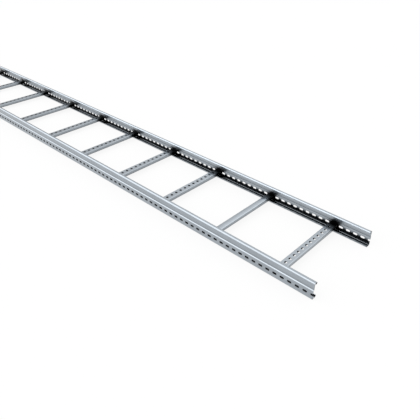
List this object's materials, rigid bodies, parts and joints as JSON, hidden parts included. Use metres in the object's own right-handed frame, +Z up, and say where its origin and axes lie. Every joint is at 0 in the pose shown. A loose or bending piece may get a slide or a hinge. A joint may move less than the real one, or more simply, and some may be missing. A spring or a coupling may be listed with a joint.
{
  "type": "cable ladder section",
  "caption": "Straight cable ladder section: two slotted roll-formed side rails joined by perforated channel rungs.",
  "frame": {"origin": "floor level under the middle of the ladder's length and width", "axes": "+X along the ladder towards the end whose second rung is the plain one, +Y across the ladder towards the right rail, +Z up"},
  "size_m": [3, 0.32, 0.057],
  "materials": {
    "rail_steel": "pre-galvanised sheet, smooth bright zinc with a fine rolled grain",
    "rung_steel": "pre-galvanised sheet, slightly lighter than the rails"
  },
  "bodies": {
    "root": {"rail_left": "rail_steel", "rail_right": "rail_steel", "rung_01": "rung_steel", "rung_02": "rung_steel", "rung_03": "rung_steel", "rung_04": "rung_steel", "rung_05": "rung_steel", "rung_06": "rung_steel", "rung_07": "rung_steel", "rung_08": "rung_steel", "rung_09": "rung_steel", "rung_10": "rung_steel", "rung_11": "rung_steel", "rung_12": "rung_steel"}
  },
  "joints": []
}
